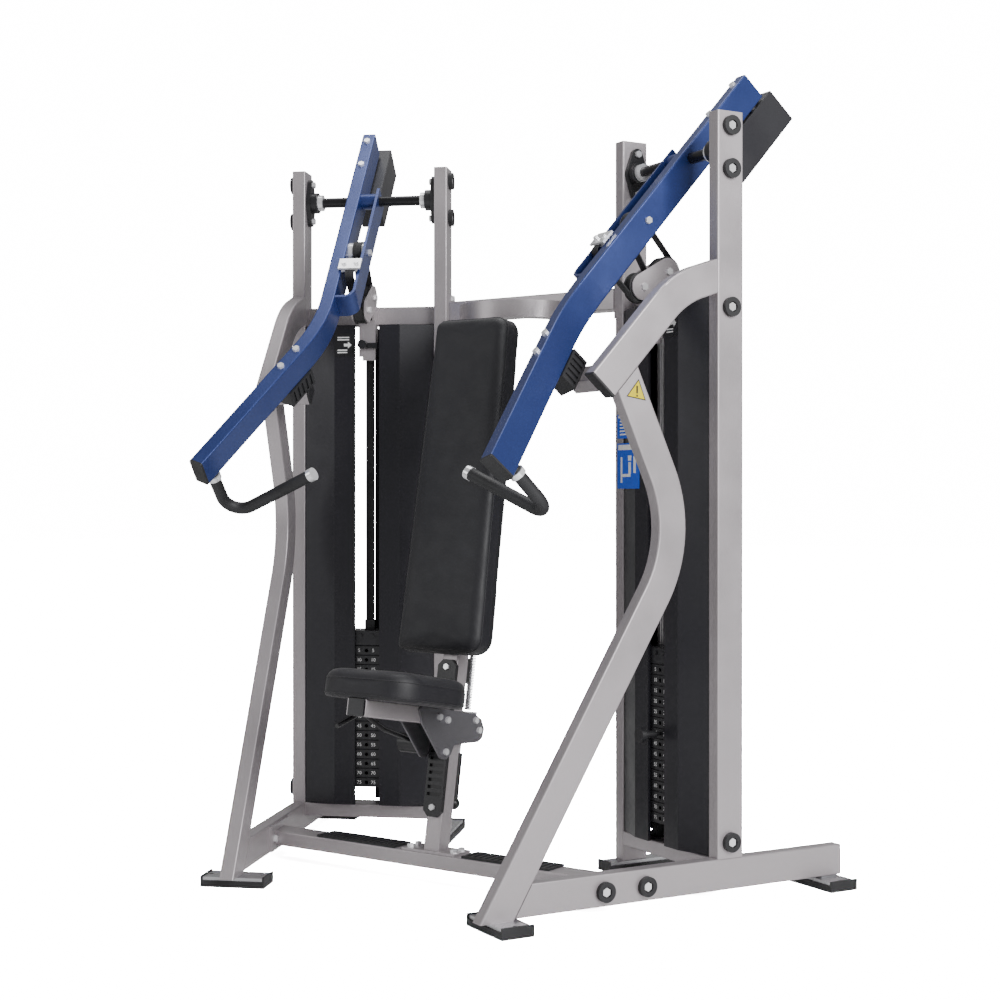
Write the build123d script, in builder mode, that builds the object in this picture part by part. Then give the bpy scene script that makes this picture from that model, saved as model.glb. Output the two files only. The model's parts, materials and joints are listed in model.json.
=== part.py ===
"""Iso-lateral shoulder press: a seat unit between two yawed weight-stack modules.

All lengths are millimetres.  +Z is up, -Y is the front (the user faces -Y) and the
floor is z = 0.  World X is the width; the seat unit is on the plane x = 0.

A module is drawn once in its own frame and then placed on the right (+X) and mirrored
to the left.  Module frame: x points outward across the module, y points backward along
it and z is up; its origin is midway between the module's two uprights.
"""
import math
import os

from build123d import *

os.makedirs("parts", exist_ok=True)

# ------------------------------------------------------------------ driving dimensions
YAW = 25.67                 # each module is turned this far toward the centre line
MODULE_X = 524.0            # module origin to the centre plane
HALF = 218.0                # module centre to the centre of either upright

TUBE_W, TUBE_D = 40.0, 80.0     # main box tube
TUBE_R = 4.0                    # outer corner radius of every box tube
WALL = 3.0

FOOT_TOP = 26.0             # rubber pad and steel plate under the frame
PAD_TOP = 17.0
RAIL_Z0, RAIL_Z1 = 30.0, 110.0
RAIL_REAR = 364.0
UPRIGHT_TOP = 2017.0
BEAM_Z0, BEAM_Z1 = 70.0, 110.0          # lower beam between the uprights
HEAD_Z0, HEAD_Z1 = 1550.0, 1606.0       # upper beam between the uprights

SHAFT_Z = 1925.0
SHAFT_R = 15.0
FIT = 0.05                  # running clearance of shafts and rods, radial

ARM_ANGLE = 48.6            # arm above the horizontal, measured up and back from the grip
ARM_X = 51.0                # centre of the arm tube from the module centre
ARM_N = 10.0                # arm centre line behind the shaft centre
ARM_TOP = 297.0             # shaft to the upper end of the arm
ARM_BEND = 563.5            # shaft to the corner where the arm splays outward
ARM_SPLAY = 24.7
ARM_LOWER = 581.0
ARM_BEND_R = 470.0

BELT_X = 4.0                # module plane of belt and pulleys
BELT_W, BELT_T = 26.0, 3.0
PULLEY_R = 36.0
FRONT_PULLEY = (-122.0, 1584.0)
REAR_PULLEY = (-43.5, 1629.0)
ARM_ROLLER_T = 224.0        # roller inside the arm, below the shaft
ARM_ROLLER_R = 30.0

PLATE_PITCH = 28.2
PLATE_T = 27.7
PLATES = 15
SELECTED = 7                # plates above the selector pin
STACK_TOP = 587.0
PLATE_HALF_X, PLATE_Y0, PLATE_Y1 = 112.0, -56.0, 44.0
ROD_X, ROD_Y, ROD_R = 90.0, 12.0, 10.0
STEM_Y = -6.0

SHIFT_Y = 248.69            # brings the middle of the overall depth to y = 0
POST_TILT = 10.0            # recline of seat post and backrest
POST_W = 50.0
POST_FOOT = (-371.0, 93.0)  # y, z of the post centre line at its base plate
SEAT_Z = 470.0              # height on the post where the seat frame has its origin

ALL = []


# ------------------------------------------------------------------ small helpers
def box(x0, x1, y0, y1, z0, z1):
    with BuildPart() as b:
        with Locations(((x0 + x1) / 2, (y0 + y1) / 2, (z0 + z1) / 2)):
            Box(x1 - x0, y1 - y0, z1 - z0)
    return b.part


def rod(p0, p1, r):
    """Round bar from p0 to p1."""
    a, b = Vector(*p0), Vector(*p1)
    with BuildPart() as c:
        with BuildSketch(Plane(origin=a, z_dir=b - a)):
            Circle(r)
        extrude(amount=(b - a).length)
    return c.part


def ring(p0, p1, r, r_in):
    a, b = Vector(*p0), Vector(*p1)
    with BuildPart() as c:
        with BuildSketch(Plane(origin=a, z_dir=b - a)):
            Circle(r)
            Circle(r_in, mode=Mode.SUBTRACT)
        extrude(amount=(b - a).length)
    return c.part


def hexagon(p0, direction, across, height):
    """Hex head standing on p0."""
    with BuildPart() as c:
        with BuildSketch(Plane(origin=p0, z_dir=direction)):
            RegularPolygon(across / math.sqrt(3), 6)
        extrude(amount=height)
    return c.part


def box_tube(points, radius, w, d, x_dir, wall=WALL):
    """Hollow box tube along a bent centre line; w lies along x_dir."""
    with BuildLine() as line:
        if len(points) == 2:
            Line(*points)
        else:
            FilletPolyline(*points, radius=radius)
    path = line.wires()[0]
    section = Plane(origin=path @ 0, x_dir=x_dir, z_dir=path % 0)
    with BuildPart() as t:
        with BuildSketch(section):
            RectangleRounded(w, d, TUBE_R)
            if wall:
                RectangleRounded(w - 2 * wall, d - 2 * wall, TUBE_R - wall / 2,
                                 mode=Mode.SUBTRACT)
        sweep(path=path)
    return t.part


def prism_yz(points, x0, x1, round_r=0.0):
    """Outline in the module's y-z plane, extruded from x0 to x1."""
    with BuildPart() as p:
        with BuildSketch(Plane.YZ.offset(x0)) as s:
            Polygon(*points, align=None)
            if round_r:
                fillet(s.vertices(), radius=round_r)
        extrude(amount=x1 - x0)
    return p.part


def prism_xy(points, z0, z1):
    with BuildPart() as p:
        with BuildSketch(Plane.XY.offset(z0)):
            Polygon(*points, align=None)
        extrude(amount=z1 - z0)
    return p.part


def folded_sheet(points, t, z0, z1):
    """Folded sheet metal: an open outline thickened by t to its left."""
    n = len(points)
    normals = []
    for i in range(n - 1):
        dx, dy = points[i + 1][0] - points[i][0], points[i + 1][1] - points[i][1]
        length = math.hypot(dx, dy)
        normals.append((-dy / length, dx / length))
    inner = []
    for i in range(n):
        a = normals[max(i - 1, 0)]
        b = normals[min(i, n - 2)]
        k = t / (1 + a[0] * b[0] + a[1] * b[1])
        inner.append((points[i][0] + (a[0] + b[0]) * k, points[i][1] + (a[1] + b[1]) * k))
    return prism_xy(list(points) + inner[::-1], z0, z1)


def placed(shape, side):
    """Module frame to world frame, side +1 right, -1 left."""
    moved = shape.moved(Location((MODULE_X, 0, 0), (0, 0, -YAW)))
    return moved if side > 0 else mirror(moved, about=Plane.YZ)


def solids_of(shapes):
    out = []
    for s in shapes:
        out.extend(s.solids())
    return out


def save(name, *shapes):
    """Write one node: one solid, or a group of separate solids."""
    solids = [s.moved(Location((0, SHIFT_Y, 0))) for s in solids_of(shapes)]
    node = solids[0] if len(solids) == 1 else Compound(children=solids)
    node.label = name
    export_step(node, "parts/" + name + ".step")
    ALL.append((name, len(solids)))


def save_pair(stem, *shapes):
    for side, suffix in ((1, "right"), (-1, "left")):
        save(stem + "_" + suffix, *[placed(s, side) for s in shapes])


def both(*shapes):
    """The same module pieces on both sides."""
    return [placed(s, side) for side in (1, -1) for s in shapes]


X_OUT = (1, 0, 0)
OUTER_FACE = HALF + TUBE_W / 2
OUTER_IN = HALF - TUBE_W / 2

# ------------------------------------------------------------------ side frame
outer_upright = box_tube([(HALF, 0, RAIL_Z1), (HALF, 0, UPRIGHT_TOP)], 0, TUBE_W, TUBE_D, X_OUT)
outer_upright += box(HALF - 18, HALF + 18, -38, 38, UPRIGHT_TOP - 4, UPRIGHT_TOP)
inner_upright = box_tube([(-HALF, 0, FOOT_TOP), (-HALF, 0, UPRIGHT_TOP)], 0, TUBE_W, TUBE_D, X_OUT)
inner_upright += box(-HALF - 18, -HALF + 18, -38, 38, UPRIGHT_TOP - 4, UPRIGHT_TOP)

# upper brace: leaves the outer upright forward, bends down and ends in a black cap
BRACE_D = 84.0
brace_end = (-381.5, 1308.5)
brace_corner = (-156.2, 1556.2)
brace_root = (-40.0, 1594.0)
brace_len = math.hypot(brace_corner[0] - brace_end[0], brace_corner[1] - brace_end[1])
brace_u = ((brace_corner[0] - brace_end[0]) / brace_len, (brace_corner[1] - brace_end[1]) / brace_len)
brace_n = (-brace_u[1], brace_u[0])
root_dy, root_dz = brace_root[0] - brace_corner[0], brace_root[1] - brace_corner[1]
brace = box_tube([(HALF, *brace_end), (HALF, *brace_corner),
                  (HALF, brace_root[0] + root_dy * 0.3, brace_root[1] + root_dz * 0.3)],
                 250, TUBE_W, BRACE_D, X_OUT)
brace -= box(HALF - 30, HALF + 30, -TUBE_D / 2, 120, 1400, 1800)

# front leg: straight lower run, one bend, upper run leaning forward under the brace
leg_low = (-722.0, -40.0)
leg_mid = (-137.0, 934.0)
leg_high = (-378.0, 1470.0)
leg = box_tube([(HALF, *leg_low), (HALF, *leg_mid), (HALF, *leg_high)], 330, TUBE_W, TUBE_D, X_OUT)
under = [(brace_end[0] - brace_n[0] * BRACE_D / 2 + brace_u[0] * s,
          brace_end[1] - brace_n[1] * BRACE_D / 2 + brace_u[1] * s) for s in (-260, 260)]
above = [(p[0] + brace_n[0] * 300, p[1] + brace_n[1] * 300) for p in under[::-1]]
leg -= prism_yz(under + above, HALF - 40, HALF + 40)
leg -= box(HALF - 60, HALF + 60, -1000, -200, -100, FOOT_TOP)

# base rail: from the rear face of the leg to behind the outer upright
rail = box_tube([(HALF, -700, (RAIL_Z0 + RAIL_Z1) / 2), (HALF, RAIL_REAR, (RAIL_Z0 + RAIL_Z1) / 2)],
                0, TUBE_W, TUBE_D, X_OUT)
rail += box(HALF - 18, HALF + 18, RAIL_REAR - 4, RAIL_REAR, RAIL_Z0 + 2, RAIL_Z1 - 2)
leg_dy, leg_dz = leg_mid[0] - leg_low[0], leg_mid[1] - leg_low[1]
leg_len = math.hypot(leg_dy, leg_dz)
rear_y = leg_low[0] + leg_dz / leg_len * TUBE_D / 2
rear_z = leg_low[1] - leg_dy / leg_len * TUBE_D / 2
slope = leg_dy / leg_dz


def leg_rear(z):
    return rear_y + slope * (z - rear_z)


rail -= prism_yz([(leg_rear(0), 0), (leg_rear(200), 200), (-900, 200), (-900, 0)],
                 HALF - 40, HALF + 40)

# beams between the two uprights of a module
lower_beam = box_tube([(-OUTER_IN, 0, (BEAM_Z0 + BEAM_Z1) / 2), (OUTER_IN, 0, (BEAM_Z0 + BEAM_Z1) / 2)],
                      0, TUBE_D, BEAM_Z1 - BEAM_Z0, (0, 1, 0))
upper_beam = box_tube([(-OUTER_IN, 20, (HEAD_Z0 + HEAD_Z1) / 2), (OUTER_IN, 20, (HEAD_Z0 + HEAD_Z1) / 2)],
                      0, 40, HEAD_Z1 - HEAD_Z0, (0, 1, 0))

# stop stub: short tube from the lower end of the brace, inward to under the arm
STUB_END = 92.0
stub_c = (brace_end[0] + brace_u[0] * 24, brace_end[1] + brace_u[1] * 24)
stub = box_tube([(STUB_END, *stub_c), (OUTER_IN, *stub_c)], 0, 57, 42, (0, *brace_u))


def cap_plate(origin, z_dir, x_dir, w, d, t):
    """Plastic end cap lying on the end of a box tube."""
    with BuildPart() as c:
        with BuildSketch(Plane(origin=origin, x_dir=x_dir, z_dir=z_dir)):
            RectangleRounded(w, d, TUBE_R)
        extrude(amount=t)
        fillet(c.faces().sort_by(Axis(origin, z_dir))[-1].edges(), radius=1.5)
    return c.part


brace_cap = cap_plate((HALF, *brace_end), (0, -brace_u[0], -brace_u[1]), X_OUT, TUBE_W, BRACE_D, 6)
stub_cap = cap_plate((STUB_END, *stub_c), (-1, 0, 0), (0, *brace_u), 57, 42, 5)

save_pair("outer_upright", outer_upright)
save_pair("inner_upright", inner_upright)
save_pair("upper_brace", brace + stub)
save_pair("front_leg", leg)
save_pair("base_rail", rail)
save("module_beams", *both(lower_beam, upper_beam))

# ------------------------------------------------------------------ central frame
FLANGE_T = 8.0
CROSS_Y, CROSS_Z0, CROSS_Z1 = -374.0, 47.0, 87.0
CROSS_FLANGE_Y = -320.0     # flange centre along the rail, in the module frame

cross = box_tube([(-640, CROSS_Y, (CROSS_Z0 + CROSS_Z1) / 2), (640, CROSS_Y, (CROSS_Z0 + CROSS_Z1) / 2)],
                 0, TUBE_D, CROSS_Z1 - CROSS_Z0, (0, 1, 0))
for beyond in both(box(OUTER_IN - FLANGE_T, 900, -900, 600, 0, 200)):
    cross -= beyond
for flange in both(box(OUTER_IN - FLANGE_T, OUTER_IN, CROSS_FLANGE_Y - 88, CROSS_FLANGE_Y + 88,
                       RAIL_Z0 + 4, RAIL_Z1 - 6)):
    cross += flange
save("front_cross_member", cross)

HEAD_Y, HEAD_CZ = 100.0, 1584.0
head_cross = box_tube([(-400, HEAD_Y, HEAD_CZ), (400, HEAD_Y, HEAD_CZ)], 0, 60, 60, (0, 1, 0))
INNER_FACE = -HALF - TUBE_W / 2
for beyond in both(box(INNER_FACE - FLANGE_T, 300, -500, 500, 1400, 1800)):
    head_cross -= beyond
for flange in both(box(INNER_FACE - FLANGE_T, INNER_FACE, -38, 38, 1530, 1638)):
    head_cross += flange
save("upper_cross_member", head_cross)

# bowed support between the upper cross member and the top of the seat post
BOW_Z0, BOW_Z1 = 1530.0, 1578.0
with BuildPart() as bow:
    with BuildSketch(Plane.XY.offset(BOW_Z0)):
        with BuildLine():
            ThreePointArc((-170, HEAD_Y - 30), (0, -145), (170, HEAD_Y - 30))
            Line((170, HEAD_Y - 30), (118, HEAD_Y - 30))
            ThreePointArc((118, HEAD_Y - 30), (0, -95), (-118, HEAD_Y - 30))
            Line((-118, HEAD_Y - 30), (-170, HEAD_Y - 30))
        make_face()
    extrude(amount=BOW_Z1 - BOW_Z0)
save("back_support", bow.part)

# ------------------------------------------------------------------ seat post
TILT = Location((0, POST_FOOT[0] + math.tan(math.radians(POST_TILT)) * (SEAT_Z - POST_FOOT[1]), SEAT_Z),
                (-POST_TILT, 0, 0))


def on_post(shape):
    """From the post's own frame (y back, z along the post) to the world."""
    return shape.moved(TILT)


post = on_post(box_tube([(0, 0, -440), (0, 0, 1200)], 0, POST_W, POST_W, X_OUT))
post -= box(-200, 200, -700, 200, -200, POST_FOOT[1])
post -= box(-200, 200, -700, 400, BOW_Z0, 2200)
post += box(-88, 88, POST_FOOT[0] - 38, POST_FOOT[0] + 34, CROSS_Z1, POST_FOOT[1])
SPRING_Y, SPRING_A0, SPRING_A1 = 78.0, -8.0, 164.0
post += on_post(box(-10, 10, POST_W / 2 - 2, SPRING_Y + 8, SPRING_A1 + 3, SPRING_A1 + 9))
save("seat_post", post)

# toothed rack on the front of the post, with its two bolts; rear strut and ball stop
RACK_A0, RACK_A1, RACK_X = -300.0, 120.0, 30.0
rack = box(-RACK_X, RACK_X, -POST_W / 2 - 12, -POST_W / 2, RACK_A0, RACK_A1)
for i in range(17):
    a = RACK_A0 + 55 + i * 19
    rack -= box(-23, 23, -POST_W / 2 - 14, -POST_W / 2 - 5, a, a + 9)
for a in (RACK_A0, RACK_A1):
    for s in (1, -1):
        corner = Location((s * RACK_X, -POST_W / 2 - 6, a), (0, 45, 0))
        with BuildPart() as cut:
            Box(22, 20, 22)
        rack -= cut.part.moved(corner)
strut_y = 58.0
strut = rod((0, strut_y, -262), (0, strut_y, -126), 11)
ball = rod((0, POST_W / 2, -262), (0, strut_y - 11, -262), 6)
with BuildPart() as bumper_ball:
    with Locations((0, strut_y, -262)):
        Sphere(17)
strut_body = bumper_ball.part + strut + ball
strut_body -= rod((0, strut_y, -256), (0, strut_y, -80), 5.4)
rear_block = chamfer(box(-20, 20, POST_W / 2, POST_W / 2 + 22, 62, 130).edges(), length=5)
save("seat_rack", on_post(rack), on_post(strut_body), on_post(rear_block))

# ------------------------------------------------------------------ moving seat frame
PLATE_X, PLATE_THK = 31.0, 6.0
outline = [(-189, -16), (3, -15), (68, -18), (98, -30), (114, -54), (110, -78), (92, -92),
           (-18, -106), (-28, -130), (-46, -146), (-70, -146), (-168, -58)]
cheeks = [prism_yz(outline, s, s + PLATE_THK, 9) for s in (PLATE_X, -PLATE_X - PLATE_THK)]
BEAM_Y0 = -398.0
seat_beam = box_tube([(0, BEAM_Y0, -36), (0, -40, -36)], 0, 2 * PLATE_X, 44, X_OUT)
seat_cap = box(-25, 25, BEAM_Y0 - 4, BEAM_Y0, -58, -14)
front_roller = rod((-PLATE_X, -50, -75), (PLATE_X, -50, -75), 10)
rear_roller = rod((-PLATE_X, 86, -60), (PLATE_X, 86, -60), 12)
pawl = rod((-100, -66, -112), (-PLATE_X - PLATE_THK - 1, -66, -112), 26)
axle_specs = [(-98, -36), (-62, -42), (66, -34), (-56, -126), (86, -60)]
seat_axles = []
for y, a in axle_specs:
    for s in ((1,) if a < -100 else (1, -1)):
        x = s * (PLATE_X + PLATE_THK)
        seat_axles.append(hexagon((x, y, a), (s, 0, 0), 16, 8))
STRUT_END = -169.0
seat_axles.append(rod((0, strut_y, STRUT_END), (0, strut_y, -32), 5))
seat_axles.append(rod((-PLATE_X, strut_y, -26), (PLATE_X, strut_y, -26), 6))
seat_axles.append(rod((-PLATE_X, SPRING_Y, -15), (PLATE_X, SPRING_Y, -15), 4))
lever_points = [(-62, -80, -104), (-62, -200, -84), (-62, -300, -46), (-62, -392, -88)]
with BuildLine() as lever_line:
    FilletPolyline(*lever_points, radius=30)
lever_path = lever_line.wires()[0]
with BuildPart() as lever_rod:
    with BuildSketch(Plane(origin=lever_path @ 0, z_dir=lever_path % 0)):
        Circle(6)
    sweep(path=lever_path)
save("seat_beam", on_post(seat_beam))
save("seat_carriage", *[on_post(c) for c in cheeks])
save("seat_hardware", *[on_post(b) for b in seat_axles])
save("seat_rollers", on_post(rear_roller), on_post(front_roller), on_post(seat_cap))
save("seat_lever", on_post((pawl + lever_rod.part)))

# cushions
SEAT_T, BACK_T = 72.0, 74.0
with BuildPart() as seat_pad:
    with BuildSketch(Plane.XY.offset(-14)):
        with Locations((0, -247)):
            RectangleRounded(290, 318, 78)
    extrude(amount=SEAT_T)
    fillet(seat_pad.faces().sort_by(Axis.Z)[-1].edges(), radius=24)
    fillet(seat_pad.faces().sort_by(Axis.Z)[0].edges(), radius=6)
save("seat_pad", on_post(seat_pad.part))

BACK_A0, BACK_A1 = 140.0, 1052.0
back_face = -POST_W / 2
with BuildPart() as backrest:
    with BuildSketch(Plane.XZ.offset(-back_face)) as outline_back:
        Polygon((-135, BACK_A0), (135, BACK_A0), (119, BACK_A1), (-119, BACK_A1), align=None)
        fillet(outline_back.vertices().sort_by(Axis.Z)[:2], radius=42)
        fillet(outline_back.vertices().sort_by(Axis.Z)[-2:], radius=22)
    extrude(amount=BACK_T)
    fillet(backrest.faces().sort_by(Axis.Y)[0].edges(), radius=20)
    fillet(backrest.faces().sort_by(Axis.Y)[-1].edges(), radius=6)
save("backrest", on_post(backrest.part))
# counterbalance coil spring behind the post, from the backrest board to the carriage
SPRING_R, SPRING_WIRE, SPRING_TURNS = 9.0, 1.5, 40
with BuildLine() as coil:
    Helix(pitch=(SPRING_A1 - SPRING_A0) / SPRING_TURNS, height=SPRING_A1 - SPRING_A0, radius=SPRING_R)
with BuildPart() as spring:
    with BuildSketch(Plane(origin=coil.line @ 0, z_dir=coil.line % 0)):
        Circle(SPRING_WIRE)
    sweep(path=coil.line)
save("seat_spring", on_post(spring.part.moved(Location((0, SPRING_Y, SPRING_A0)))))
# ribbed foot treads on the front cross member
treads = []
for s in (1, -1):
    tread = box(min(s * 112, s * 385), max(s * 112, s * 385), CROSS_Y - 37, CROSS_Y + 37,
                CROSS_Z1, CROSS_Z1 + 6)
    for i in range(14):
        x = s * (124 + i * 19)
        tread -= box(min(x, x + s * 8), max(x, x + s * 8), CROSS_Y - 30, CROSS_Y + 30,
                     CROSS_Z1 + 4, CROSS_Z1 + 8)
    treads.append(tread)
save("treads", *treads)

# ------------------------------------------------------------------ feet
feet = [(210, -659, 175, 88), (210, 325, 175, 88), (-HALF, 60, 60, 300)]
ANCHOR_R = 5.5
foot_plates, foot_pads, anchors = [], [], []
for x, y, w, d in feet:
    plate = box(x - w / 2 + 5, x + w / 2 - 5, y - d / 2 + 4, y + d / 2 - 4, PAD_TOP, FOOT_TOP)
    pad = box(x - w / 2, x + w / 2, y - d / 2, y + d / 2, 0, PAD_TOP)
    rims = [(-w / 2, -w / 2 + 5), (w / 2 - 5, w / 2)] if w > d else [(-w / 2, w / 2)]
    for a, b in rims:
        if w > d:
            pad += box(x + a, x + b, y - d / 2, y + d / 2, PAD_TOP, FOOT_TOP + 3)
        else:
            for e in (-1, 1):
                pad += box(x + a, x + b, min(y + e * d / 2, y + e * (d / 2 - 4)),
                           max(y + e * d / 2, y + e * (d / 2 - 4)), PAD_TOP, FOOT_TOP + 3)
    span = (w if w > d else d) / 2 - 17
    for e in (-1, 1):
        ax, ay = (x + e * span, y) if w > d else (x, y + e * span)
        hole = rod((ax, ay, -1), (ax, ay, FOOT_TOP + 1), ANCHOR_R)
        plate -= hole
        pad -= hole
    foot_plates.append(plate)
    foot_pads.append(pad)
foot_plates[1] += box(HALF - 18, HALF + 18, 300, 350, FOOT_TOP, RAIL_Z0)
save("foot_plates", *both(*foot_plates))
save("foot_pads", *both(*foot_pads))

# ------------------------------------------------------------------ bearings and shafts
BEARING_IN = OUTER_IN - 32.0
bearings = []
for s in (1, -1):
    face = s * OUTER_IN
    hub_end = s * BEARING_IN
    with BuildPart() as flange:
        with BuildSketch(Plane(origin=(face, 0, SHAFT_Z), x_dir=(0, 1, 0), z_dir=(-s, 0, 0))):
            with Locations((0, -55), (0, 55)):
                Circle(16)
            Circle(34)
            make_hull()
        extrude(amount=13)
    unit = flange.part + rod((face - s * 12, 0, SHAFT_Z), (hub_end, 0, SHAFT_Z), 31)
    bearings.append(unit - rod((face + s, 0, SHAFT_Z), (hub_end - s, 0, SHAFT_Z), SHAFT_R + FIT))
save("bearings", *both(*bearings))

shaft = rod((-OUTER_IN + 3, 0, SHAFT_Z), (OUTER_IN - 3, 0, SHAFT_Z), SHAFT_R)
collars = [ring((s * (BEARING_IN - 1), 0, SHAFT_Z), (s * (BEARING_IN - 15), 0, SHAFT_Z), 24, SHAFT_R)
           for s in (1, -1)]
save_pair("shaft", shaft)

# ------------------------------------------------------------------ press arm
ca, sa = math.cos(math.radians(ARM_ANGLE)), math.sin(math.radians(ARM_ANGLE))
cb, sb = math.cos(math.radians(ARM_SPLAY)), math.sin(math.radians(ARM_SPLAY))


def arm_point(t, x, n):
    """t down the arm from the shaft, x across the module, n toward the arm's rear face."""
    return (x, -ca * t + sa * n, SHAFT_Z - sa * t - ca * n)


def lower_point(s, w, n):
    """s down the splayed lower run from its corner, w across it."""
    return arm_point(ARM_BEND + s * cb - w * sb, ARM_X + s * sb + w * cb, ARM_N + n)


UP = (0, ca, sa)
REAR = (0, sa, -ca)
DOWN_OUT = (sb, -ca * cb, -sa * cb)
ACROSS = (cb, ca * sb, sa * sb)
arm_frame = Plane(origin=(0, 0, SHAFT_Z), x_dir=X_OUT, z_dir=UP)
lower_frame = Plane(origin=arm_point(ARM_BEND, ARM_X, ARM_N), x_dir=ACROSS,
                    z_dir=tuple(-v for v in DOWN_OUT))


def arm_box(t0, t1, x0, x1, n0, n1):
    """Box along the straight upper arm: t down from the shaft, n toward the rear."""
    with BuildPart() as b:
        with Locations(((x0 + x1) / 2, (n0 + n1) / 2, -(t0 + t1) / 2)):
            Box(x1 - x0, n1 - n0, t1 - t0)
    return b.part.moved(arm_frame.location)


def lower_box(s0, s1, w0, w1, n0, n1):
    with BuildPart() as b:
        with Locations(((w0 + w1) / 2, (n0 + n1) / 2, -(s0 + s1) / 2)):
            Box(w1 - w0, n1 - n0, s1 - s0)
    return b.part.moved(lower_frame.location)


def arm_rod(t, n, x0, x1, r):
    return rod(arm_point(t, x0, n), arm_point(t, x1, n), r)


BAR_X0, BAR_X1 = -24.0, -16.0
TUBE_X0, TUBE_X1 = ARM_X - TUBE_W / 2, ARM_X + TUBE_W / 2
N_FRONT, N_REAR = ARM_N - TUBE_D / 2, ARM_N + TUBE_D / 2

arm_tube = box_tube([arm_point(-ARM_TOP, ARM_X, ARM_N), arm_point(ARM_BEND, ARM_X, ARM_N),
                     lower_point(ARM_LOWER, 0, 0)], ARM_BEND_R, TUBE_W, TUBE_D, X_OUT)
arm_tube += arm_box(-ARM_TOP, -ARM_TOP + 4, TUBE_X0 + 2, TUBE_X1 - 2, N_FRONT + 2, N_REAR - 2)
# flat bar beside the tube: straight, then a quarter turn back to the tube
bar_c = (BAR_X0 + BAR_X1) / 2
with BuildLine() as bar_line:
    FilletPolyline(arm_point(-30, bar_c, ARM_N), arm_point(452, bar_c, ARM_N),
                   arm_point(452, TUBE_X0 + 1, ARM_N), radius=30)
bar_path = bar_line.wires()[0]
with BuildPart() as bar:
    with BuildSketch(Plane(origin=bar_path @ 0, x_dir=REAR, z_dir=bar_path % 0)):
        Rectangle(TUBE_D - 6, BAR_X1 - BAR_X0)
    sweep(path=bar_path)
sleeve = rod((BAR_X1 - 1, 0, SHAFT_Z), (TUBE_X0 + 1, 0, SHAFT_Z), 24)
arm_tube = arm_tube + bar.part + sleeve
arm_tube -= rod((-60, 0, SHAFT_Z), (120, 0, SHAFT_Z), SHAFT_R)
arm_tube -= arm_rod(ARM_ROLLER_T, ARM_N, -60, 120, 6)
save_pair("arm_tube", arm_tube)

counterweight = arm_box(-330, -75, 0, 71, 56, 160)
counterweight = chamfer(counterweight.edges(), length=2)
bolt_ts = (-258, -143)
for t in bolt_ts:
    counterweight += rod(arm_point(t, ARM_X, N_REAR), arm_point(t, ARM_X, 58), 14)
save_pair("counterweight", counterweight)

# handle: leaves the underside of the arm, then turns inward
GRIP_R = 16.5
handle_root = lower_point(545, 0, N_REAR - ARM_N)
handle_corner = (268.0, -538.0, 978.0)
handle_end = (18.0, -632.0, 1088.0)
with BuildLine() as grip_line:
    FilletPolyline(handle_root, handle_corner, handle_end, radius=48)
grip_path = grip_line.wires()[0]
with BuildPart() as grip:
    with BuildSketch(Plane(origin=grip_path @ 0, z_dir=grip_path % 0)):
        Circle(GRIP_R)
    sweep(path=grip_path)
foot_cut = lower_box(480, 620, -60, 60, 0, N_REAR - ARM_N)
save_pair("handle", grip.part - foot_cut)

# rubber bumper under the arm and the plastic cap on its end
STOP_N = 90.2
bumper = lower_box(108, 214, -24, 24, N_REAR - ARM_N, STOP_N)
for i in range(5):
    s0 = 118 + i * 19
    for w0, w1 in ((-26, -20), (20, 26)):
        bumper -= lower_box(s0, s0 + 9, w0, w1, N_REAR - ARM_N + 6, STOP_N - 6)
arm_cap = lower_box(ARM_LOWER, ARM_LOWER + 6, -20, 20, -TUBE_D / 2, TUBE_D / 2)
arm_cap = fillet(arm_cap.edges().filter_by(Axis(origin=(0, 0, 0), direction=DOWN_OUT)), radius=TUBE_R)
save_pair("arm_trim", bumper, arm_cap)

# chrome on the arm: shaft collars, bolts, belt roller, belt clamp, handle ferrules
root_v, corner_v, end_v = Vector(*handle_root), Vector(*handle_corner), Vector(*handle_end)
first = (corner_v - root_v).normalized()
last = (end_v - corner_v).normalized()
ferrule = ring(tuple(root_v + first * 8), tuple(root_v + first * 22), GRIP_R + 4, GRIP_R)
grip_tip = rod(handle_end, tuple(end_v + last * 15), GRIP_R + 1.5)
front_dir = tuple(-v for v in REAR)
arm_bolts = [hexagon(arm_point(t, ARM_X, N_FRONT), front_dir, 17, 8) for t in bolt_ts]
arm_bolts += [hexagon(lower_point(s, 0, N_FRONT - ARM_N), front_dir, 17, 8) for s in (122, 195)]
arm_bolts += [hexagon(arm_point(ARM_ROLLER_T, TUBE_X1, ARM_N), (1, 0, 0), 17, 8),
              hexagon(arm_point(ARM_ROLLER_T, BAR_X0, ARM_N), (-1, 0, 0), 17, 8)]
roller = ring(arm_point(ARM_ROLLER_T, BAR_X1, ARM_N), arm_point(ARM_ROLLER_T, TUBE_X0, ARM_N),
              ARM_ROLLER_R, 6)
axle = arm_rod(ARM_ROLLER_T, ARM_N, BAR_X0, TUBE_X1, 6)
CLAMP_T0, CLAMP_T1, BELT_N = 305.0, 347.0, N_FRONT - 2.0
clamp_base = arm_box(CLAMP_T0, CLAMP_T1, BAR_X1, TUBE_X0, BELT_N + BELT_T / 2, BELT_N + BELT_T / 2 + 6)
clamp_top = arm_box(CLAMP_T0, CLAMP_T1, BAR_X0 - 2, TUBE_X0 + 8, BELT_N - BELT_T / 2 - 6,
                    BELT_N - BELT_T / 2)
clamp_bolts = [hexagon(arm_point(326, x, BELT_N - BELT_T / 2 - 6), front_dir, 13, 7)
               for x in (BELT_X - 17, BELT_X + 20)]
save_pair("arm_hardware", *collars, ferrule, grip_tip, *arm_bolts, roller, axle, clamp_base,
          clamp_top, *clamp_bolts)

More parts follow.
